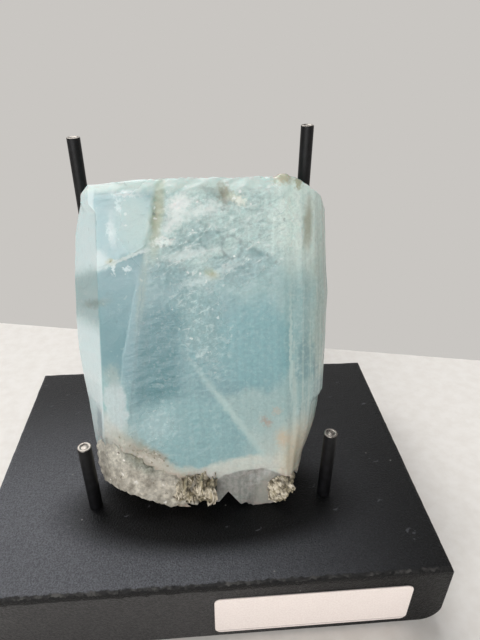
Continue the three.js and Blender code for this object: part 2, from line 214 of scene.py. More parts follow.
def in_edit_mode(piece, kind="FACE", pick="DESELECT"):
    only(piece)
    bpy.ops.object.mode_set(mode="EDIT")
    bpy.ops.mesh.select_mode(type=kind)
    bpy.ops.mesh.select_all(action=pick)


def leave_edit_mode():
    bpy.ops.object.mode_set(mode="OBJECT")


def select_faces(piece, rule):
    """Selects the faces that the rule picks, and leaves the piece in edit mode."""
    in_edit_mode(piece)
    leave_edit_mode()
    for face in piece.data.polygons:
        face.select = bool(rule(face))
    bpy.ops.object.mode_set(mode="EDIT")


def select_edges(piece, rule):
    """Selects the edges that the rule picks by their two ends, and leaves the piece in edit mode."""
    in_edit_mode(piece, "EDGE")
    leave_edit_mode()
    points = piece.data.vertices
    for edge in piece.data.edges:
        edge.select = bool(rule(*[points[i].co for i in edge.vertices]))
    bpy.ops.object.mode_set(mode="EDIT")


def copy_of_node(name, node):
    """A merged copy of a CAD solid, to be worked up into a detailed piece."""
    piece = bpy.data.objects.new(name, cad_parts[node].data.copy())
    piece.data.materials.clear()
    bpy.context.collection.objects.link(piece)
    in_edit_mode(piece, pick="SELECT")
    bpy.ops.mesh.remove_doubles(threshold=0.002 * MM)
    bpy.ops.mesh.customdata_custom_splitnormals_clear()
    leave_edit_mode()
    return piece


def copy_of(piece, name):
    twin = piece.copy()
    twin.data = piece.data.copy()
    twin.name = name
    bpy.context.collection.objects.link(twin)
    return twin


def apply_modifier(piece, kind, **settings):
    only(piece)
    modifier = piece.modifiers.new(kind.lower(), kind)
    for name, value in settings.items():
        setattr(modifier, name, value)
    bpy.ops.object.modifier_apply(modifier=modifier.name)


def made_by(operator, **settings):
    """A new piece from one of Blender's primitives."""
    bpy.ops.object.select_all(action="DESELECT")
    operator(**settings)
    return bpy.context.active_object


def settle(piece):
    """Writes a piece's place, turn and size into its mesh."""
    only(piece)
    bpy.ops.object.transform_apply(location=True, rotation=True, scale=True)


def relief(
    piece, name, kind, scale_mm, height_mm, group="", middle=0.5, upright=STONE_FRAME, **settings,
):
    """Raises and lowers the surface by a noise whose grain is scale_mm along the axes of a frame."""
    texture = bpy.data.textures.new(name, kind)
    if hasattr(texture, "noise_scale"):
        texture.noise_scale = 1.0
    for key, value in settings.items():
        setattr(texture, key, value)
    empty = made_by(bpy.ops.object.empty_add)
    empty.matrix_world = upright @ Matrix.Diagonal((*[s * MM for s in scale_mm], 1))
    bpy.context.view_layer.update()
    apply_modifier(
        piece, "DISPLACE", texture=texture, texture_coords="OBJECT", texture_coords_object=empty,
        strength=height_mm * MM, mid_level=middle, vertex_group=group, direction="NORMAL",
    )
    bpy.data.objects.remove(empty)


def ramp(value, low, high):
    """0 below low, 1 above high, smooth between."""
    share = min(1.0, max(0.0, (value - low) / (high - low)))
    return share * share * (3 - 2 * share)


def weigh(piece, name, rule, upright=STONE_FRAME):
    """A vertex group whose weight is rule(x, depth, height) in a frame, in millimetres."""
    group = piece.vertex_groups.new(name=name)
    to_frame = upright.inverted()
    for vertex in piece.data.vertices:
        place = to_frame @ vertex.co / MM
        weight = rule(place.x, place.y, place.z)
        if weight > 0.001:
            group.add([vertex.index], weight, "REPLACE")


def smooth_by_angle(piece, degrees):
    only(piece)
    bpy.ops.object.shade_smooth_by_angle(angle=math.radians(degrees))


def hand_over(piece, material, slot, *nodes):
    """Gives a finished piece its material and its body, and hides the nodes that it stands for.
    Its slot is not used.
    """
    piece.vertex_groups.clear()
    if material:
        piece.data.materials.append(material)
    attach(piece, "root")
    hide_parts(*nodes)


# Aquamarine

# Patches of the stone's front, in its upright frame in millimetres: what it is, colour, strength,
# centre across and up, radii across and up, turn in degrees, softness of the edge
CLOUDS = [
    ("frost of the upper face", "c6dbd7", 0.95, (3, 64), (19, 12), 0, 0.35),
    ("blue heart", "84abb0", 0.95, (-2, 28), (18, 21.5), 0, 0.2),
    ("deep blue left of the middle", "53888f", 0.9, (-10, 34), (5, 15), 8, 0.45),
    ("mid column of grains", "9abcbd", 0.6, (-0.6, 43), (3.8, 10), -18, 0.6),
    ("blue-grey under the frost", "87aaae", 0.85, (-8, 51), (6, 5), 0, 0.5),
    ("grey-blue in the frost", "92b2b3", 0.85, (-1, 60.5), (6.5, 2.6), -15, 0.6),
    ("grey-blue at its right", "98b7ba", 0.85, (9, 54), (7, 3.6), -15, 0.6),
    ("blue right of the middle", "85b2b7", 0.9, (12, 36), (8.8, 10.5), 0, 0.25),
    ("lower blue", "93babd", 0.85, (-4, 15.5), (13, 8.8), 8, 0.25),
    ("pale top right", "e6f4ec", 0.9, (25, 64), (9, 12), 0, 0.4),
    ("pale right margin", "bccdc3", 0.7, (29, 40), (4, 26), 0, 0.5),
    ("blue pocket in the right side", "86aaad", 0.75, (24, 31), (2.6, 7), 0, 0.4),
]
# The same for the pale margins along the foot, which lie over the wedge at the lower right
MARGINS = [
    ("pale margin over the break", "d6dbd1", 0.95, (9, 5.8), (13, 3.0), -4, 0.3),
    ("beige right foot", "ded8c4", 0.95, (24.5, 5.5), (6.5, 10.5), 0, 0.5),
    ("foot of the left facet", "cddada", 0.9, (-21.2, 21.5), (2.7, 9), 3, 0.25),
    ("pale lower left corner", "d2d6ce", 0.9, (-23, 14.5), (6.5, 4.5), 20, 0.4),
    ("sugary brown over the crust", "b3ad99", 0.85, (-15, 9.8), (7, 3.0), 36, 0.5),
    ("beige stone under the crust", "b9b19f", 1.0, (-14, 1.5), (17, 6.8), 10, 0.15),
    ("pale edge beside the mica", "c9cdc0", 0.7, (-6, 6.6), (5, 1.2), 12, 0.6),
]
# Stains, veils and the marks of the seams, on the front or just under it
STAINS = [
    ("diagonal veil", "c8dfda", 0.6, (6.2, 19.6), (0.8, 12), -34.5, 0.9),
    ("ochre beside the seam", "a0ad9e", 0.5, (-13.2, 49), (0.8, 8), 9, 0.9),
    # Deep blue right of the seam, partly the stone's own blue and partly painted shade
    ("deep blue and painted shade right of the seam", "5a878e", 0.6, (-13.8, 34), (1.3, 13), 6, 0.5),
    ("seam shadow", "6f9399", 0.6, (-14.8, 38), (0.3, 20), 8.5, 0.6),
    ("ochre by the upper seam", "bdc1a2", 0.7, (-8.9, 65.6), (1.2, 7.5), 8, 0.7),
    ("pale edge of the upper seam", "c9dcd6", 0.6, (-10.6, 64), (0.5, 9), 10, 0.7),
    ("olive spot", "7d8052", 0.9, (2.6, 52.4), (0.7, 0.6), 0, 0.6),
    ("yellow ring of the spot", "b0b583", 0.5, (2.4, 52.6), (1.6, 1.1), 20, 0.6),
    ("spot on the slab", "b1ad84", 0.85, (-19.8, 55.8), (1.2, 0.6), 0, 0.5),
    ("stain by the right edge", "9ea08a", 0.75, (24.6, 63), (1.1, 5.0), 3, 0.7),
    ("pale streak on the slab", "dbe9e9", 0.7, (-18.9, 62.5), (0.7, 3.0), 0, 0.8),
    # A painted highlight along the slab's lower lip
    ("painted highlight on the slab's lip", "dbe8e6", 0.85, (-16.6, 56.6), (6.5, 0.45), -20, 0.5),
    ("round foot of the slab's side", "d8e6e6", 0.85, (-22.6, 56.2), (2.4, 2.2), 0, 0.4),
    ("pale line on the right edge", "c4dad6", 0.85, (20.3, 33.0), (0.35, 12), 0, 0.5),
    # A painted dark line where the background shows through the nearly clear strip
    ("painted dark of the background seen through the clear strip", "869d9a", 0.9, (-24.6, 46.2), (3.6, 0.9), -14, 0.8),
    ("grey foot of the strip", "a9b7bb", 0.8, (-25.6, 17), (1.2, 3.6), 0, 0.5),
]
# Patches of grains, and of sparkles that are painted glints, whose edges are pushed about until
# they break up
GRAINS = [
    ("dirt at the top", "968f76", 0.7, (5.7, 70.0), (1.2, 2.4), -10, 0.8),
    ("dirt beside it", "b9b89d", 0.6, (8.0, 69.2), (2.0, 0.9), 30, 0.9),
    ("rusty nub on the top edge", "c4bda2", 0.9, (18.9, 73.4), (2.0, 1.5), 0, 0.6),
    ("second nub", "a9a486", 0.8, (22.2, 72.4), (0.8, 1.4), 0, 0.6),
    ("grey spots beside the dirt", "a3b2ad", 0.6, (2.4, 70.8), (1.8, 0.8), 20, 0.8),
    ("white bruise", "f8fbf8", 0.95, (-4.2, 68), (2.3, 1.6), -30, 0.7),
    ("white bruise below", "ecf4f1", 0.9, (-5.6, 64.4), (3.4, 1.2), -48, 0.9),
    ("white bruise beside", "eaf3f0", 0.85, (0.8, 66.4), (4.0, 1.1), -14, 0.9),
    ("bright grains at the top", "f4f8ee", 0.9, (9.2, 68.4), (1.5, 0.8), 20, 0.8),
    ("bright grains by the seam", "f0f6f2", 0.95, (-8.0, 59.9), (2.3, 0.8), -5, 0.7),
    ("row of sparkles", "e6f1ef", 0.6, (-2.1, 57.2), (4.4, 1.1), -8, 0.9),
    ("second row of sparkles", "e2efed", 0.6, (-0.8, 51.0), (3.4, 0.9), -10, 0.9),
    ("third row of sparkles", "e4f0ee", 0.55, (5.6, 53.8), (3.6, 0.8), -24, 0.9),
    ("smudge on the slab", "e8f2f1", 0.85, (-15.4, 70.3), (3.2, 0.5), 8, 0.7),
    ("white grains below it", "e4f0f0", 0.8, (-17.2, 68.0), (0.5, 1.6), -10, 0.7),
    ("white grains on the slab", "e4f0f0", 0.65, (-19.6, 62.4), (0.4, 1.6), -10, 0.7),
    ("sparkles under the slab", "e2f0f0", 0.9, (-19.3, 54.0), (0.45, 0.9), -10, 0.6),
    ("grains under the slab", "dbe9ea", 0.85, (-16.2, 54.2), (1.0, 0.6), 0, 0.6),
    ("grains on the facet's foot", "a9bcb9", 0.8, (-20.9, 30), (1.7, 2.2), 0, 0.8),
    ("white grains in the lower blue", "bcd6d8", 0.45, (-11.6, 18), (4.2, 3.6), 0, 1.0),
    ("peach spot", "b59e8c", 0.7, (14.2, 17.4), (1.5, 0.8), 40, 0.9),
    ("peach spot above", "c6b8a8", 0.6, (16.8, 20.0), (1.0, 0.7), 0, 0.9),
    ("peach spots below", "d4c0a4", 0.75, (18.2, 12.9), (1.5, 1.9), -25, 0.9),
    ("beige grains down the right foot", "cfbfa4", 0.6, (20.6, 8.5), (1.6, 5.0), 12, 1.0),
    ("brown grains over the crust", "938b74", 0.65, (-15.5, 11.2), (5.2, 2.0), 38, 0.9),
    ("pale grains over the crust", "d8d4c6", 0.7, (-12.6, 8.6), (4.8, 1.1), 36, 1.0),
    ("pale grains at the left corner", "d8d8cd", 0.7, (-21.5, 13.6), (3.4, 1.6), 10, 1.0),
]

# Stains and grains lie at the front: how deep their middles are, and how far they reach
SKIN = (3, 14)


def painted(tree, places, patches, colour, depth=(10, 60)):
    """Lays patches of colour over a colour, one after the other."""
    for _, tint, strength, centre, radii, turn, soft in patches:
        spot = patch(tree, places, centre, radii, turn, soft, strength, depth)
        colour = tinted(tree, colour, tint, spot)
    return colour


def aquamarine():
    # Beryl, grown in a pocket and left natural: glassy on clean faces, milky with fine inclusions
    # within, sugary and dull where etched. Light gets a few millimetres into it and comes out blue.
    material, tree = new_material("cloudy_aquamarine")
    upright = stone_places(tree)
    # Three ways to shake an outline: clouds wander, stains fray and grains fall apart
    loose = shaken(tree, upright, 5, 6)
    close = shaken(tree, upright, 1.2, 1.6)
    fine = shaken(tree, upright, 0.7, 3.4)
    # 1 where the surface is etched
    frosted = add(tree, "Math", {
        0: patch(tree, loose, (2, 63), (19, 13), 0, 0.3),
        1: add(tree, "Math", {
            0: patch(tree, loose, (-12, 17), (5, 7), 25, 0.6, 0.6),
            1: patch(tree, loose, (-0.6, 43), (5.5, 12), -18, 0.6, 0.8),
        }, **LARGER),
    }, **LARGER)
    colour = painted(tree, loose, CLOUDS, linear("a5c3c3"))
    # Past the diagonal veil and below the blue, the stone is paler toward its lower right corner
    wedge = add(tree, "Math", {
        0: beyond(tree, close, (6.6, 19), (0.824, 0.566), 0.8),
        1: beyond(tree, loose, (13, 25), (0.1, -1), 1.6),
    }, **TIMES)
    lower = beyond(tree, loose, (15, 14), (0.35, -1), 7)
    wedge_tint = tinted(tree, linear("a5c1c0"), "c5d1ca", lower)
    colour = tinted(tree, colour, wedge_tint, wedge, 0.95)
    colour = painted(tree, loose, MARGINS, colour)

    # Etched ripples, 1 mm apart and 2 to 3 mm long, climbing to the right across the upper face; their
    # crests carry a painted highlight and their hollows painted shade
    slanted = add(tree, "Mapping", {
        "Vector": upright, "Rotation": (0, math.radians(-24), 0), "Scale": (2.4, 2.4, 1.0),
    }, vector_type="TEXTURE")
    ripples = add(tree, "TexNoise", {
        "Vector": slanted, "Scale": 0.8, "Detail": 6.0, "Roughness": 0.68, "Distortion": 0.7,
    })
    raised = within(tree, ripples, 0.52, 0.68, frosted)
    sunk = within(tree, ripples, 0.5, 0.36, frosted)
    colour = tinted(tree, colour, "e6f1ee", raised, 0.9)
    colour = tinted(tree, colour, "8fb0b0", sunk, 0.55)
    # A round etch pit, its rim drawn as a thin ring
    ring = add(tree, "Math", {
        0: patch(tree, close, (7.1, 58.5), (2.6, 2.8), 0, 0.12),
        1: patch(tree, close, (7.1, 58.5), (2.0, 2.2), 0, 0.12),
    }, **MINUS)
    colour = tinted(tree, colour, "7e9698", ring, 0.5)
    # Pale inclusions 1 mm across, thick down the middle and at the lower left, thin elsewhere
    haze = add(tree, "TexNoise", {"Vector": upright, "Scale": 0.75, "Detail": 6.0, "Roughness": 0.75})
    hazy = add(tree, "Math", {
        0: patch(tree, loose, (-0.2, 42), (4.5, 13), -18, 0.6, 0.75),
        1: patch(tree, loose, (-11.6, 17.5), (4.5, 4.5), 25, 0.6, 0.75),
    }, **LARGER)
    right_side = beyond(tree, loose, (20, 40), (1, 0), 1.5)
    hazy = add(tree, "Math", {
        0: hazy, 1: add(tree, "MapRange", {0: right_side, 1: 0, 2: 1, 3: 0.22, 4: 0.5}, **SMOOTH),
    }, **LARGER)
    dots = within(tree, haze, 0.5, 0.62, hazy)
    colour = tinted(tree, colour, "c3d9d8", dots)
    dark_dots = within(tree, haze, 0.46, 0.36, hazy)
    colour = tinted(tree, colour, "6d979c", dark_dots, 0.35)
    # Fine grain all over, under 1 mm across
    grain = add(tree, "TexNoise", {"Vector": upright, "Scale": 1.3, "Detail": 5.0, "Roughness": 0.7})
    mottle = shaded(tree, colour, grain, 0.84, 1.12)
    grainy = add(tree, "MapRange", {0: frosted, 1: 0, 2: 1, 3: 0.55, 4: 1.0}, **SMOOTH)
    colour = tinted(tree, colour, mottle, grainy)
    # Growth lines run the stone's length, 1 mm apart, and show most on its side faces
    along = add(tree, "Mapping", {"Vector": upright, "Scale": (1.0, 1.0, 0.03)})
    lines = add(tree, "TexNoise", {"Vector": along, "Scale": 1.0, "Detail": 4.0})
    colour = shaded(tree, colour, lines, 0.96, 1.035)
    pale_streaks = within(tree, lines, 0.5, 0.66, right_side)
    colour = tinted(tree, colour, "d2ded5", pale_streaks, 0.35)

    # The plain faces at the left: the facet beside the seam, the slab over it and the side strip
    facet = add(tree, "Math", {
        0: beyond(tree, upright, (-15.0, 38), (-1, 0.15), 0.4),
        1: beyond(tree, close, (-20, 29), (0.3, 1), 3),
    }, **TIMES)
    colour = tinted(tree, colour, "7aa1a9", facet, 0.8)
    slab = add(tree, "Math", {
        0: beyond(tree, upright, (-10.4, 64), (-1, 0.17)),
        1: beyond(tree, upright, (-17.5, 56.5), (-0.35, 1)),
    }, **TIMES)
    paler = patch(tree, loose, (-13, 63.5), (4.6, 7), -12, 0.7)
    slab_tint = tinted(tree, linear("b0ccd0"), "cbdfdc", paler)
    colour = tinted(tree, colour, slab_tint, slab, 0.85)
    strip = beyond(tree, upright, (-22.9, 60), (-1, 0.03), 0.3)
    strip_foot = beyond(tree, close, (-24, 41), (-0.15, -1), 3.5)
    strip_head = beyond(tree, close, (-24, 54), (-0.3, 1), 2.5)
    strip_tint = tinted(tree, linear("b1cdcd"), "d7e8e9", strip_head)
    strip_tint = tinted(tree, strip_tint, "dae9ea", strip_foot)
    colour = tinted(tree, colour, strip_tint, strip, 0.9)
    # The worn top edge
    top = beyond(tree, close, (0, 70.8), (0, 1), 1.2)
    colour = tinted(tree, colour, "e3f1ea", top, 0.85)
    colour = painted(tree, close, STAINS, colour, SKIN)
    colour = painted(tree, fine, GRAINS, colour, SKIN)
    # Painted glints: pale specks, sparse, but thickest over the etched face
    painted_glints = specks(tree, close, 1.3, 0.3, 0.14)
    painted_glints = add(tree, "Math", {
        0: painted_glints, 1: add(tree, "MapRange", {0: frosted, 1: 0, 2: 1, 3: 0.12, 4: 0.9}, **SMOOTH),
    }, **TIMES)
    colour = tinted(tree, colour, "f0f6f3", painted_glints)
    shade = specks(tree, close, 1.9, 0.26, 0.12)
    shade = add(tree, "Math", {
        0: shade, 1: add(tree, "MapRange", {0: frosted, 1: 0, 2: 1, 3: 0.2, 4: 0.5}, **SMOOTH),
    }, **TIMES)
    colour = tinted(tree, colour, "748a88", shade)
    # Where the stone thins out over the crust it breaks up into pale and brown grains
    sugary = patch(tree, loose, (-14.6, 9.4), (8.5, 3.0), 36, 0.4)
    pale_grains = add(tree, "Math", {0: specks(tree, fine, 1.2, 0.42, 0.4), 1: sugary}, **TIMES)
    colour = tinted(tree, colour, "dcd9cc", pale_grains, 0.75)
    brown_grains = add(tree, "Math", {0: specks(tree, close, 1.0, 0.4, 0.36), 1: sugary}, **TIMES)
    colour = tinted(tree, colour, "857f69", brown_grains, 0.7)
    # The grey, fibrous break at the foot; its grey is partly the break's own and partly painted shade,
    # as it faces down
    broken = patch(tree, upright, (10.5, -5), (12.5, 10.6), 4, 0.025)
    veined = add(tree, "Math", {
        0: add(tree, "Math", {0: lines, 1: 0.4}, **TIMES),
        1: add(tree, "Math", {0: grain, 1: 0.6}, **TIMES),
    }, **PLUS)
    veins = add(tree, "MapRange", {0: veined, 1: 0.4, 2: 0.62}, **SMOOTH)
    grey = tinted(tree, linear("8a8c85"), "a8a7a1", veins)
    grey = tinted(tree, grey, "b6b5aa", patch(tree, close, (14, -1), (2.2, 5), 10, 0.7, 0.7))
    colour = tinted(tree, colour, grey, broken)

    # The middle of the side strip is the one part that is nearly clear
    clear = add(tree, "Math", {
        0: 1.0, 1: add(tree, "Math", {0: strip_foot, 1: strip_head}, **LARGER),
    }, **MINUS)
    clear = add(tree, "Math", {0: strip, 1: clear}, **TIMES)
    height = add(tree, "Math", {0: grain, 1: ripples}, **PLUS)
    bump = add(tree, "Bump", {
        "Strength": add(tree, "MapRange", {0: frosted, 1: 0, 2: 1, 3: 0.25, 4: 0.55}, **SMOOTH),
        "Distance": 0.25 * MM,
        "Height": height,
    })
    shader = add(tree, "BsdfPrincipled", {
        "Base Color": colour,
        "Roughness": add(tree, "MapRange", {0: frosted, 1: 0, 2: 1, 3: 0.22, 4: 0.36}, **SMOOTH),
        "IOR": 1.575,
        "Transmission Weight": add(tree, "MapRange", {0: clear, 1: 0, 2: 1, 3: 0.2, 4: 0.45}, **SMOOTH),
        "Subsurface Weight": 0.5,
        "Subsurface Radius": (0.5, 1.0, 1.0),
        "Subsurface Scale": 4 * MM,
        "Normal": bump,
    })
    absorption = add(tree, "VolumeAbsorption", {"Color": linear("8cc4cc"), "Density": 25.0})
    add(tree, "OutputMaterial", {"Surface": shader, "Volume": absorption})
    return material


# Millimetres in the stone's upright frame: the notch in the foot, and where the crust's bed ends
NOTCH_TIP = (4.8, -0.3)
NOTCH_RADIUS = 2.8
NOTCH_WIDENING = 1.5
NOTCH_DEPTH = 14
BED_FRONT = 0.25
BED_SHIFT = (0.8, 0.3, 0.8)
CRUST_FOOT = (-18.3, 0.0, 0.9)
CRUST_FOOT_FACES = (-0.38, -0.2, -1)
# Share of the remesh grid that the stone fills, which sets faces about half a millimetre across
STONE_FILL = 0.63
ETCH_SLANT = math.radians(-22)


def in_stone(x, depth, height):
    """A place given in the stone's upright frame in millimetres."""
    return STONE_FRAME @ Vector((x * MM, depth * MM, height * MM))


def cut_off(piece, point, faces):
    """Cuts away what lies past a plane through a point, on the side that it faces."""
    in_edit_mode(piece, pick="SELECT")
    bpy.ops.mesh.bisect(
        plane_co=in_stone(*point), plane_no=STONE_FRAME.to_3x3() @ Vector(faces),
        use_fill=True, clear_outer=True, threshold=0.001 * MM,
    )
    leave_edit_mode()


def fill_crust_bed(stone):
    """Fills the pocket under the crust, so that the crust can thin out to nothing over the stone."""
    bed = copy_of_node("bed", "matrix_crust")
    cut_off(bed, (0, BED_FRONT, 0), (0, -1, 0))
    cut_off(bed, (CRUST_FOOT[0], CRUST_FOOT[1], CRUST_FOOT[2] + 1), CRUST_FOOT_FACES)
    bed.location = STONE_FRAME.to_3x3() @ (Vector(BED_SHIFT) * MM)
    bpy.context.view_layer.update()
    apply_modifier(stone, "BOOLEAN", object=bed, operation="UNION", solver="EXACT")
    bpy.data.objects.remove(bed)


def cut_notch(stone):
    """Deepens the notch in the broken foot with a three-sided wedge."""
    cylinder = bpy.ops.mesh.primitive_cylinder_add
    wedge = made_by(cylinder, vertices=3, radius=NOTCH_RADIUS * MM, depth=NOTCH_DEPTH * MM)
    in_edit_mode(wedge, pick="SELECT")
    bpy.ops.transform.resize(value=(NOTCH_WIDENING, 1, 1))
    leave_edit_mode()
    point = max(wedge.data.vertices, key=lambda vertex: vertex.co.y).co.y
    middle = Vector((NOTCH_TIP[0] * MM, 0, NOTCH_TIP[1] * MM - point))
    wedge.matrix_world = STONE_FRAME @ Matrix.Translation(middle) @ Matrix.Rotation(math.pi / 2, 4, "X")
    bpy.context.view_layer.update()
    apply_modifier(stone, "BOOLEAN", object=wedge, operation="DIFFERENCE", solver="EXACT")
    bpy.data.objects.remove(wedge)


def push(piece, name, direction, distance_mm, rule):
    """Moves the part of a surface that the rule weighs along one of the frame's own axes."""
    weigh(piece, name, rule)
    apply_modifier(
        piece, "DISPLACE", direction=direction, strength=distance_mm * MM, mid_level=0,
        vertex_group=name,
    )


def make_stone():
    stone = copy_of_node("stone_detailed", "aquamarine_crystal")
    fill_crust_bed(stone)
    cut_notch(stone)
    apply_modifier(stone, "REMESH", mode="SHARP", octree_depth=8, scale=STONE_FILL)
    # The right edge is worn round, and so are the slab's edge and the bruise at the top
    weigh(stone, "right_edge", lambda x, y, z: ramp(x, 16.5, 18.5) * ramp(24 - x, 0, 2))
    apply_modifier(stone, "SMOOTH", factor=0.5, iterations=18, vertex_group="right_edge")
    weigh(stone, "soft", lambda x, y, z: max(
        ramp(4.5 - math.hypot(x - 5.7, z - 70), 0, 1.5),
        ramp(x, -18, -16) * ramp(-x, 6, 7) * ramp(z, 50, 54),
    ))
    apply_modifier(stone, "SMOOTH", factor=0.5, iterations=26, vertex_group="soft")
    push(stone, "top_left", "X", -1.8, lambda x, y, z: (
        ramp(-x, 18, 22) * ramp(z, 66, 70) * ramp(12 - y, 0, 6)
    ))
    push(stone, "left_shoulder", "Z", -1.1, lambda x, y, z: (
        ramp(-x, 11, 23) * ramp(z, 66, 71) * ramp(14 - y, 0, 6)
    ))
    push(stone, "nub", "Z", 0.7, lambda x, y, z: (
        ramp(1.9 - abs(x - 18.9), 0, 1.2) * ramp(z, 70, 71.5) * ramp(6 - y, 0, 3)
    ))
    push(stone, "foot", "Z", -2.0, lambda x, y, z: (
        ramp(-z, -1, 1.5) * ramp(x, 9, 11.5) * ramp(18 - x, 0, 3)
    ))
    weigh(stone, "etched", lambda x, y, z: (
        0.12 + 0.88 * ramp(z, 45, 58) * ramp(20 - x, 0, 6) * ramp(x, -13, -8)
    ))
    weigh(stone, "sides", lambda x, y, z: 0.04 + 0.96 * ramp(x, 19, 23) * ramp(z, 8, 22))
    weigh(stone, "broken", lambda x, y, z: ramp(-z, -9, -3) * ramp(abs(x - NOTCH_TIP[0]), 2, 5))
    slanted = STONE_FRAME @ Matrix.Rotation(ETCH_SLANT, 4, "Y")
    relief(stone, "etch", "CLOUDS", (3.6, 3.2, 1.5), 0.9, "etched", upright=slanted, noise_depth=3)
    relief(stone, "sugar", "CLOUDS", (1.3, 1.1, 0.8), 0.4, "etched", upright=slanted, noise_depth=1)
    relief(stone, "striations", "CLOUDS", (1.1, 1.1, 20), 0.27, "sides", noise_depth=2)
    relief(stone, "breakage", "CLOUDS", (3.5, 3.5, 3.5), 1.0, "broken", noise_depth=3)
    smooth_by_angle(stone, 40)
    hand_over(stone, aquamarine(), "aquamarine", "aquamarine_crystal")


make_stone()


# Feldspar and quartz crust

# The line where the crust thins out, across and up the stone in millimetres
CRUST_BRINK = [(-26, 14.6), (-19.5, 15.0), (-14.2, 10.6), (-8.9, 7.4), (-4.4, 6.2)]

CRUST_GRID = 0.33
CRUST_END_STRIP = 0.3
CRUST_RUN_ON = (4.5, 0.4, 0)


def brink_height(x):
    """Height of the crust's upper edge across the stone."""
    for (x0, z0), (x1, z1) in zip(CRUST_BRINK, CRUST_BRINK[1:]):
        if x < x1:
            return z0 + (z1 - z0) * (x - x0) / (x1 - x0)
    return CRUST_BRINK[-1][1]


def sugary_crust():
    # Fine-grained feldspar and quartz, as broken from the pocket wall: dull grains about 1 mm
    # across in pinkish grey, with glints of quartz and a greenish stain under the stone
    material, tree = new_material("sugary_feldspar")
    upright = stone_places(tree)
    close = shaken(tree, upright, 1.2, 2.2)
    grain = add(tree, "TexNoise", {"Vector": upright, "Scale": 1.1, "Detail": 7.0, "Roughness": 0.72})
    blotches = add(tree, "TexNoise", {"Vector": upright, "Scale": 0.4, "Detail": 3.0})
    blotched = add(tree, "MapRange", {0: blotches, 1: 0.35, 2: 0.65}, **SMOOTH)
    colour = tinted(tree, linear("cac4b6"), "a59f92", blotched)
    colour = tinted(tree, colour, "c8c5b8", patch(tree, close, (-23, 12), (6, 5), 30, 0.5, 0.7))
    colour = tinted(tree, colour, "9aa093", patch(tree, close, (-15.0, 9.2), (5, 2.4), 35, 0.5, 0.7))
    colour = tinted(tree, colour, "a89f80", patch(tree, close, (-14, 9.4), (5.5, 1.0), 32, 0.8, 0.6))
    colour = shaded(tree, colour, grain, 0.66, 1.26)
    colour = tinted(tree, colour, "ece8e0", specks(tree, close, 1.3, 0.34, 0.16))
    colour = tinted(tree, colour, "6a6152", specks(tree, close, 1.6, 0.3, 0.14))
    bump = add(tree, "Bump", {"Strength": 0.9, "Distance": 0.4 * MM, "Height": grain})
    shader = add(tree, "BsdfPrincipled", {
        "Base Color": colour,
        "Roughness": 0.5,
        "Normal": bump,
        "Subsurface Weight": 0.15,
        "Subsurface Radius": (1.0, 0.9, 0.8),
        "Subsurface Scale": 1 * MM,
    })
    add(tree, "OutputMaterial", {"Surface": shader})
    return material


def make_crust():
    """The crust runs on under the mica at its right end and thins out to nothing up the stone."""
    crust = copy_of_node("crust_detailed", "matrix_crust")
    cut_off(crust, CRUST_FOOT, CRUST_FOOT_FACES)
    to_stone = STONE_FRAME.inverted()
    end = max((to_stone @ vertex.co).x for vertex in crust.data.vertices)
    in_edit_mode(crust, "VERT")
    leave_edit_mode()
    for vertex in crust.data.vertices:
        vertex.select = (to_stone @ vertex.co).x > end - CRUST_END_STRIP * MM
    bpy.ops.object.mode_set(mode="EDIT")
    bpy.ops.transform.translate(value=Vector(CRUST_RUN_ON) * MM)
    leave_edit_mode()
    apply_modifier(crust, "REMESH", mode="VOXEL", voxel_size=CRUST_GRID * MM)
    weigh(crust, "brink", lambda x, y, z: ramp(z, brink_height(x) - 5, brink_height(x) - 0.5))
    relief(crust, "crust_lumps", "CLOUDS", (2.6, 2.6, 2.6), 1.2, middle=0.4, noise_depth=3)
    relief(crust, "crust_grains", "VORONOI", (1.3, 1.3, 1.3), 0.55)
    apply_modifier(crust, "DISPLACE", strength=-1.3 * MM, mid_level=0, vertex_group="brink")
    smooth_by_angle(crust, 60)
    hand_over(crust, sugary_crust(), "feldspar", "matrix_crust")
    return crust


crust = make_crust()


# Mica books

LEAF_RADIUS = 1.0
LEAF_THICKNESS = 0.17
LEAF_STEP = 0.12
LUMP_GRID = 0.3
# How far inside a cut a leaf's place has to be
CUT_MARGIN = 0.6


def mica(name, dark, bright, roughness):
    # Muscovite, split into thin leaves: pearly flats, pale ragged edges and dark gaps between them,
    # with flecks about 1 mm across
    material, tree = new_material(name)
    upright = stone_places(tree)
    flecks = add(tree, "TexNoise", {"Vector": upright, "Scale": 0.8, "Detail": 5.0, "Roughness": 0.6})
    flecked = add(tree, "MapRange", {0: flecks, 1: 0.36, 2: 0.6}, **SMOOTH)
    colour = tinted(tree, linear(dark), bright, flecked)
    shader = add(tree, "BsdfPrincipled", {"Base Color": colour, "Roughness": roughness, "IOR": 1.59})
    add(tree, "OutputMaterial", {"Surface": shader})
    return material


SHADED_MICA = mica("muscovite_in_shade", "4c4536", "b3a88d", 0.45)
LEAF_MICA = mica("muscovite_leaves", "857b66", "e6dcc8", 0.28)


def mica_leaf():
    """One thin leaf 2 mm across with a stepped edge, standing in the plane across X."""
    leaf = made_by(
        bpy.ops.mesh.primitive_cylinder_add, vertices=7, radius=LEAF_RADIUS * MM,
        depth=LEAF_THICKNESS * MM, rotation=(0, math.pi / 2, 0),
    )
    settle(leaf)
    select_faces(leaf, lambda face: abs(face.normal.x) > 0.9)
    bpy.ops.mesh.inset(thickness=LEAF_STEP * MM, use_individual=True)
    bpy.ops.transform.resize(value=(1.6, 1, 1))
    leave_edit_mode()
    return leaf


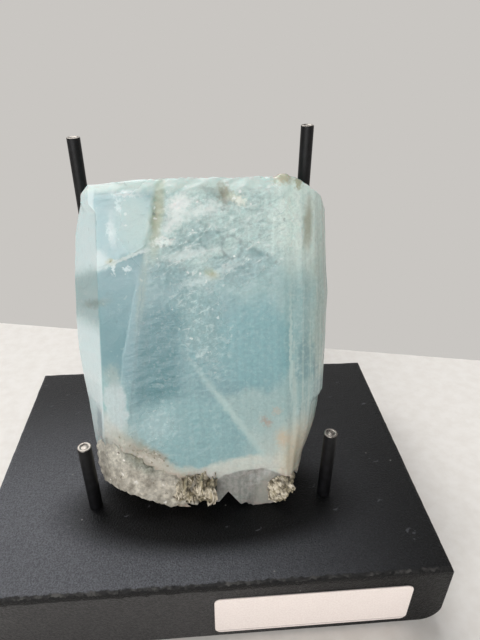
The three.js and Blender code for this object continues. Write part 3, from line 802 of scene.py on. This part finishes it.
def make_mica(name, node, move, cuts, seed, beside, reach, books, leaves, sizes, pitch, spin, sink):
    """Books of parallel leaves over the front of the cluster's lump, and of what stands beside it.

    Move shifts the lump, cuts trim it, and reach gives the least and greatest x and the greatest
    height of a book. Each book has so many leaves of a size, set a pitch apart, turned by spin and
    sunk into the surface by a share of their size. All in millimetres and degrees.
    """
    lump = copy_of_node(name, node)
    in_edit_mode(lump, pick="SELECT")
    bpy.ops.transform.translate(value=STONE_FRAME.to_3x3() @ Vector(move) * MM)
    leave_edit_mode()
    for point, faces in cuts:
        cut_off(lump, point, faces)
    apply_modifier(lump, "REMESH", mode="VOXEL", voxel_size=LUMP_GRID * MM)
    spun = STONE_FRAME @ Matrix.Rotation(math.radians(spin), 4, "Y")
    relief(lump, name + "_folds", "CLOUDS", (0.7, 2.0, 2.8), 1.3, "", 0.6, spun, noise_depth=3)
    lump.data.materials.append(SHADED_MICA)
    draw = random.Random(seed)
    to_stone = STONE_FRAME.inverted()
    spots = []
    for piece in (lump, *beside):
        for vertex in piece.data.vertices:
            place = to_stone @ vertex.co / MM
            facing = to_stone.to_3x3() @ vertex.normal
            inside = all((place - Vector(p)).dot(Vector(faces)) < -CUT_MARGIN for p, faces in cuts)
            if facing.y < -0.1 and reach[0] < place.x < reach[1] and place.z < reach[2] and inside:
                spots.append((vertex.co.copy(), vertex.normal.copy()))
    leaf = mica_leaf()
    leaf.data.materials.append(LEAF_MICA)
    made = []
    for place, normal in draw.sample(spots, books):
        size = draw.uniform(*sizes)
        way = (
            STONE_FRAME.to_3x3().to_4x4()
            @ Matrix.Rotation(math.radians(spin + draw.gauss(0, 14)), 4, "Y")
            @ Matrix.Rotation(math.radians(draw.gauss(0, 26)), 4, "Z")
        )
        for step in range(leaves):
            wide, tall = size * draw.uniform(0.5, 0.8), size * draw.uniform(0.7, 1.1)
            shift = way @ Vector(((step - leaves / 2) * pitch * MM, 0, draw.gauss(0, 0.12) * size * MM))
            centre = place - normal * size * (sink + draw.uniform(-0.1, 0.1)) * MM + shift
            tilt = Matrix.Rotation(math.radians(draw.gauss(0, 5)), 4, "Y")
            tilt = tilt @ Matrix.Rotation(draw.gauss(0, 0.3), 4, "X")
            twin = copy_of(leaf, "leaf")
            stretch = Matrix.Diagonal((1, wide, tall, 1))
            twin.matrix_world = Matrix.Translation(centre) @ way @ tilt @ stretch
            made.append(twin)
    bpy.data.objects.remove(leaf)
    bpy.context.view_layer.update()
    bpy.ops.object.select_all(action="DESELECT")
    for twin in made:
        twin.select_set(True)
    lump.select_set(True)
    bpy.context.view_layer.objects.active = lump
    bpy.ops.object.join()
    smooth_by_angle(lump, 25)
    hand_over(lump, None, "mica", node)


LEFT_CUTS = [((-2, 0, -3.2), (0, 0, -1))]
RIGHT_CUTS = [
    ((17.3, 0, -4.4), (0.83, 0, -0.56)), ((22.4, 0, 4), (1, 0, 0)), ((15, 0, -4.4), (0, 0, -1)),
]
make_mica(
    "mica_left_detailed", "mica_cluster_left", (-0.3, 1.0, 0.5), LEFT_CUTS, 4, (crust,),
    (-9.7, 2.0, 6.2), 70, 4, (1.0, 1.9), 0.28, -10, 0.72,
)
make_mica(
    "mica_right_detailed", "mica_cluster_right", (-1.4, -1.4, 0.5), RIGHT_CUTS, 9, (),
    (13, 22.4, 5.2), 130, 3, (0.5, 0.95), 0.2, -30, 0.55,
)


# Display block

def painted_board():
    # Fibreboard painted black: a pebbled satin top with a painted sheen toward its left and front and a
    # painted shadow of the stone around its foot, a front that is a little greyer and carries painted
    # shade toward its right, and a light line along the top edge, partly bare board where it has
    # chipped and partly painted highlight. The pebbles are 0.2 mm across and the grain of the sheen
    # finer still; both are drawn about twice as coarse so that they show.
    material, tree = new_material("black_painted_board")
    places = block_places(tree)
    close = shaken(tree, places, 1.2, 1.6)
    shell = add(tree, "TexNoise", {"Vector": places, "Scale": 2.2, "Detail": 5.0, "Roughness": 0.6})
    sheen_grain = add(tree, "TexNoise", {"Vector": places, "Scale": 3.6, "Detail": 3.0, "Roughness": 0.6})
    facing = add(tree, "NewGeometry")
    up = add(tree, "SeparateXYZ", {"Vector": facing.outputs["Normal"]})
    top = add(tree, "MapRange", {0: up.outputs["Z"], 1: 0.5, 2: 0.9}, **SMOOTH)
    colour = tinted(tree, linear("3a3939"), "030304", top)
    colour = shaded(tree, colour, shell, 0.8, 1.3)
    pebbles = within(tree, shell, 0.5, 0.68, top)
    colour = tinted(tree, colour, "15171a", pebbles)
    # Painted sheen lightens the left and the front of the top, fading toward the back, with a painted
    # shadow of the stone around its foot where the top stays dark; a fine grain breaks the sheen up
    across = add(tree, "SeparateXYZ", {"Vector": places})
    flat = add(tree, "CombineXYZ", {
        "X": across.outputs["X"], "Y": across.outputs["Z"], "Z": across.outputs["Y"],
    })
    painted_stone_shadow = patch(tree, flat, (1, -17.5), (35, 13.5), 0, 0.25)
    painted_sheen = within(tree, across.outputs["X"], 54, -6, top)
    painted_sheen = add(tree, "Math", {
        0: painted_sheen,
        1: add(tree, "MapRange", {0: across.outputs["Y"], 1: 34, 2: -20, 3: 0.06, 4: 1.0}, **SMOOTH),
    }, **TIMES)
    outside_stone_shadow = add(tree, "Math", {0: 1.0, 1: painted_stone_shadow}, **MINUS)
    painted_sheen = add(tree, "Math", {0: painted_sheen, 1: outside_stone_shadow}, **TIMES)
    painted_sheen = add(tree, "Math", {
        0: painted_sheen, 1: add(tree, "MapRange", {0: sheen_grain, 1: 0.36, 2: 0.64, 3: 0.5, 4: 1.0}, **SMOOTH),
    }, **TIMES)
    colour = tinted(tree, colour, "66676c", painted_sheen)
    # Fine scratches in the top, 2 to 3 mm long, drawn 0.3 mm wide so that they show
    turned = add(tree, "Mapping", {
        "Vector": close, "Rotation": (0, 0, math.radians(25)), "Scale": (4.0, 1.2, 1.0),
    }, vector_type="TEXTURE")
    scratches = add(tree, "Math", {0: specks(tree, turned, 1.6, 0.16, 0.3), 1: top}, **TIMES)
    colour = tinted(tree, colour, "64656a", scratches, 0.5)
    split = add(tree, "SeparateXYZ", {"Vector": close})
    # Painted shade: the front face darkens toward its right end, away from the light
    painted_shade_to_right = add(tree, "MapRange", {0: across.outputs["X"], 1: -10, 2: 45, 3: 0.0, 4: 0.9}, **SMOOTH)
    front = add(tree, "Math", {0: 1.0, 1: top}, **MINUS)
    colour = tinted(tree, colour, "050505", painted_shade_to_right, front)
    # The front edge: a light line along the very edge, partly bare board where it has chipped and
    # partly painted highlight, and painted shade on the chamfer just under it
    near_front = add(tree, "MapRange", {
        0: split.outputs["Y"], 1: BLOCK_LOW.y / MM + 0.7, 2: BLOCK_LOW.y / MM + 1.1, 3: 1.0, 4: 0.0,
    }, **SMOOTH)
    near_top = add(tree, "MapRange", {
        0: split.outputs["Z"], 1: BLOCK_TOP / MM - 0.45, 2: BLOCK_TOP / MM - 0.2,
    }, **SMOOTH)
    # Painted shade on the chamfer under the edge
    under = add(tree, "MapRange", {
        0: split.outputs["Z"], 1: BLOCK_TOP / MM - 1.9, 2: BLOCK_TOP / MM - 1.5,
    }, **SMOOTH)
    under = add(tree, "Math", {0: under, 1: near_front}, **TIMES)
    colour = tinted(tree, colour, "040405", under, 0.95)
    chips = add(tree, "TexNoise", {"Vector": places, "Scale": 0.4, "Detail": 4.0})
    # The light line along the edge: partly bare board where it has chipped, partly painted highlight
    chipped_edge_and_highlight = add(tree, "Math", {0: near_front, 1: near_top}, **TIMES)
    chipped_edge_and_highlight = add(tree, "Math", {
        0: chipped_edge_and_highlight, 1: add(tree, "MapRange", {0: chips, 1: 0.4, 2: 0.68, 3: 0.1, 4: 0.8}, **SMOOTH),
    }, **TIMES)
    colour = tinted(tree, colour, "5f5d5a", chipped_edge_and_highlight)
    colour = tinted(tree, colour, "7d7b78", specks(tree, places, 5.0, 0.05, 0.3))
    bump = add(tree, "Bump", {"Strength": 1.0, "Distance": 0.35 * MM, "Height": shell})
    shader = add(tree, "BsdfPrincipled", {
        "Base Color": colour,
        "Specular IOR Level": 0.22,
        "Roughness": add(tree, "MapRange", {0: shell, 1: 0.35, 2: 0.65, 3: 0.48, 4: 0.28}, **SMOOTH),
        "Normal": bump,
    })
    add(tree, "OutputMaterial", {"Surface": shader})
    return material


# The rounded corner at the lower right, and the worn edges of the top
BLOCK_CORNER = 5
BLOCK_EDGE = 0.8
BLOCK_FILL = 0.95


def make_block():
    middle, size = (BLOCK_LOW + BLOCK_HIGH) / 2, BLOCK_HIGH - BLOCK_LOW
    block = made_by(bpy.ops.mesh.primitive_cube_add, size=1, location=middle, scale=size)
    block.name = "block_detailed"
    settle(block)
    right, bottom = BLOCK_HIGH.x - 0.1 * MM, BLOCK_LOW.z + 0.1 * MM
    select_edges(block, lambda a, b: min(a.x, b.x) > right and max(a.z, b.z) < bottom)
    bpy.ops.mesh.bevel(offset=BLOCK_CORNER * MM, segments=8)
    leave_edit_mode()
    top = BLOCK_TOP - 0.1 * MM
    select_edges(block, lambda a, b: min(a.z, b.z) > top)
    bpy.ops.mesh.bevel(offset=BLOCK_EDGE * MM, segments=3)
    leave_edit_mode()
    apply_modifier(block, "REMESH", mode="SHARP", octree_depth=7, scale=BLOCK_FILL)
    flat = Matrix.Identity(4)
    low, high = BLOCK_LOW / MM, BLOCK_HIGH / MM

    def at_rim(x, y, z):
        side = min(x - low.x, high.x - x, y - low.y, high.y - y)
        return ramp(3.0 - side, 0, 2.5) * ramp(z - high.z, -3.0, -0.8)

    weigh(block, "rim", at_rim, flat)
    relief(block, "rim_wear", "CLOUDS", (3, 3, 2), 0.22, "rim", 0.75, flat, noise_depth=3)
    relief(block, "board_waves", "CLOUDS", (9, 9, 9), 0.12, "", 0.6, flat, noise_depth=2)
    smooth_by_angle(block, 50)
    hand_over(block, painted_board(), "painted_wood", "display_base")


make_block()


# Pegs

def peg_paint():
    # A black plastic sleeve over the steel: dull and very dark, with scuffs 1 to 2 mm long
    material, tree = new_material("black_sleeve")
    places = block_places(tree)
    scuff = add(tree, "TexNoise", {"Vector": places, "Scale": 0.7, "Detail": 4.0})
    scuffed = add(tree, "MapRange", {0: scuff, 1: 0.4, 2: 0.7}, **SMOOTH)
    colour = tinted(tree, linear("040405"), "111114", scuffed)
    shader = add(tree, "BsdfPrincipled", {
        "Base Color": colour, "Roughness": 0.45, "Specular IOR Level": 0.25,
    })
    add(tree, "OutputMaterial", {"Surface": shader})
    return material


def peg_steel():
    # Bare steel cut with a saw: dull silver, its marks drawn 0.3 mm apart so that they show
    material, tree = new_material("cut_steel")
    places = block_places(tree)
    marks = add(tree, "TexNoise", {"Vector": places, "Scale": 3.0, "Detail": 4.0})
    shader = add(tree, "BsdfPrincipled", {
        "Base Color": linear("948e87"),
        "Metallic": 1.0,
        "Roughness": add(tree, "MapRange", {0: marks, 1: 0.3, 2: 0.7, 3: 0.2, 4: 0.45}, **SMOOTH),
    })
    add(tree, "OutputMaterial", {"Surface": shader})
    return material


PEGS = ("peg_front_left", "peg_front_right", "peg_back_left", "peg_back_right")
# The tip from its rim inward: rounding, width of the rim, its inner slope and how deep that
# falls, then the ring of the raised middle and how high that stands
TIP_ROUND = 0.25
TIP_RIM = 0.3
TIP_SLOPE = 0.25
TIP_DISH = 0.2
TIP_RING = 0.4
TIP_RISE = 0.12


def make_pegs():
    """One peg with a rounded rim and a dished tip, copied to each place and drawn out in length."""
    low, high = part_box(PEGS[0])
    radius = (high.x - low.x) / 2
    cylinder = bpy.ops.mesh.primitive_cylinder_add
    first = made_by(cylinder, vertices=32, radius=radius, depth=high.z - low.z)
    tip = (high.z - low.z) / 2
    select_faces(first, lambda face: face.normal.z > 0.9)
    bpy.ops.mesh.bevel(offset=TIP_ROUND * MM, segments=3)
    leave_edit_mode()
    select_faces(first, lambda face: face.center.z > tip - 0.01 * MM and len(face.vertices) > 8)
    bpy.ops.mesh.inset(thickness=TIP_RIM * MM)
    bpy.ops.mesh.inset(thickness=TIP_SLOPE * MM)
    bpy.ops.transform.translate(value=(0, 0, -TIP_DISH * MM))
    bpy.ops.mesh.inset(thickness=TIP_RING * MM)
    bpy.ops.transform.translate(value=(0, 0, TIP_RISE * MM))
    leave_edit_mode()
    first.data.materials.append(peg_paint())
    first.data.materials.append(peg_steel())
    for face in first.data.polygons:
        bare = face.center.z > tip - TIP_RIM * MM and face.normal.z > 0.3
        face.material_index = 1 if bare else 0
    smooth_by_angle(first, 40)
    for node in PEGS:
        low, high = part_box(node)
        peg = copy_of(first, node.replace("peg_", "pin_"))
        peg.location = ((low.x + high.x) / 2, (low.y + high.y) / 2, (low.z + high.z) / 2)
        settle(peg)
        longer = (high.z - low.z) / 2 - tip
        middle = (low.z + high.z) / 2
        for end in (-1, 1):
            select_faces(peg, lambda face: (face.center.z - middle) * end > tip * 0.6)
            bpy.ops.transform.translate(value=(0, 0, longer * end))
            leave_edit_mode()
        hand_over(peg, None, "black_steel", node)
    bpy.data.objects.remove(first)


make_pegs()


# Label

def label_paper():
    # Coated label paper: warm white and even, with a faint tooth drawn 0.4 mm coarse so that it
    # shows, and one thin printed line near its lower edge
    material, tree = new_material("coated_label_paper")
    places = block_places(tree)
    tooth = add(tree, "TexNoise", {"Vector": places, "Scale": 2.5, "Detail": 4.0})
    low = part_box("front_label")[0] / MM
    toothed = add(tree, "MapRange", {0: tooth, 1: 0.3, 2: 0.7}, **SMOOTH)
    colour = tinted(tree, linear("e6dad4"), "efe5df", toothed)
    split = add(tree, "SeparateXYZ", {"Vector": places})
    rule = low.z + 0.55
    above = add(tree, "MapRange", {0: split.outputs["Z"], 1: rule - 0.12, 2: rule - 0.08}, **SMOOTH)
    below = add(tree, "MapRange", {
        0: split.outputs["Z"], 1: rule + 0.08, 2: rule + 0.12, 3: 1.0, 4: 0.0,
    }, **SMOOTH)
    inked = add(tree, "Math", {0: add(tree, "Math", {0: above, 1: below}, **TIMES), 1: 0.6}, **TIMES)
    colour = tinted(tree, colour, "6d6260", inked)
    bump = add(tree, "Bump", {"Strength": 0.15, "Distance": 0.05 * MM, "Height": tooth})
    shader = add(tree, "BsdfPrincipled", {"Base Color": colour, "Roughness": 0.55, "Normal": bump})
    add(tree, "OutputMaterial", {"Surface": shader})
    return material


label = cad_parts["front_label"]
label.data.materials.clear()
label.data.materials.append(label_paper())


# Floor and light

FLOOR_TURN = math.radians(-12)
FLOOR_BACK = 0.084
FLOOR_SIZE = (1.6, 1.0, 1)
ROOM_WALL = "c9c6c2"
ROOM_OVERHEAD = "707073"
WINDOW = 4.2
# Place, what it faces, width and height in metres, and radiance
SOFT_BOX = ((-0.3, -0.74, 0.36), (0, 0, 0.05), (0.8, 0.5), 3.95)


def make_stage():
    # Pale matt board, faintly clouded every few millimetres
    material, tree = new_material("pale_floor")
    places = block_places(tree)
    fibre = add(tree, "TexNoise", {"Vector": places, "Scale": 0.25, "Detail": 6.0, "Roughness": 0.6})
    clouded = add(tree, "MapRange", {0: fibre, 1: 0.3, 2: 0.7}, **SMOOTH)
    colour = tinted(tree, linear("e8e3dc"), "efebe5", clouded)
    shader = add(tree, "BsdfPrincipled", {"Base Color": colour, "Roughness": 0.8})
    add(tree, "OutputMaterial", {"Surface": shader})
    floor = made_by(bpy.ops.mesh.primitive_plane_add, size=1)
    floor.name = "floor"
    floor.scale = FLOOR_SIZE
    floor.rotation_euler = (0, 0, FLOOR_TURN)
    middle = Vector((0, FLOOR_BACK - FLOOR_SIZE[1] / 2, 0))
    floor.location = Matrix.Rotation(FLOOR_TURN, 4, "Z") @ middle
    settle(floor)
    floor.data.materials.append(material)


def soft_light(name, place, target, size, radiance):
    """A soft box of an even radiance, facing the target."""
    data = bpy.data.lights.new(name, "AREA")
    data.shape = "RECTANGLE"
    data.size, data.size_y = size
    data.energy = radiance * math.pi * size[0] * size[1]
    light = bpy.data.objects.new(name, data)
    light.location = place
    light.rotation_euler = (Vector(target) - Vector(place)).to_track_quat("-Z", "Y").to_euler()
    bpy.context.collection.objects.link(light)


def make_light():
    """A grey room, brighter high up behind on the left, and one soft box in front."""
    world = bpy.data.worlds.new("soft_room")
    world.use_nodes = True
    tree = world.node_tree
    ways = add(tree, "TexCoord")
    way = add(tree, "SeparateXYZ", {"Vector": ways.outputs["Generated"]})
    overhead = add(tree, "MapRange", {0: way.outputs["Z"], 1: 0.25, 2: 0.5}, **SMOOTH)
    colour = add(tree, "Mix", {0: overhead, 6: linear(ROOM_WALL), 7: linear(ROOM_OVERHEAD)}, **COLOUR)
    high = add(tree, "MapRange", {0: way.outputs["Z"], 1: 0.3, 2: 0.75}, **SMOOTH)
    behind = add(tree, "MapRange", {0: way.outputs["Y"], 1: 0.1, 2: 0.4}, **SMOOTH)
    left = add(tree, "MapRange", {0: way.outputs["X"], 1: 0.3, 2: -0.02}, **SMOOTH)
    glow = add(tree, "Math", {0: add(tree, "Math", {0: high, 1: behind}, **TIMES), 1: left}, **TIMES)
    colour = add(tree, "Mix", {
        0: 1.0,
        6: colour,
        7: add(tree, "Mix", {0: glow, 6: (0, 0, 0, 1), 7: (WINDOW,) * 3 + (1,)}, **COLOUR),
    }, blend_type="ADD", **COLOUR)
    tree.links.new(colour.outputs[2], tree.nodes["Background"].inputs["Color"])
    bpy.context.scene.world = world
    soft_light("front", *SOFT_BOX)


make_stage()
bpy.context.scene.view_settings.view_transform = "Standard"
make_light()
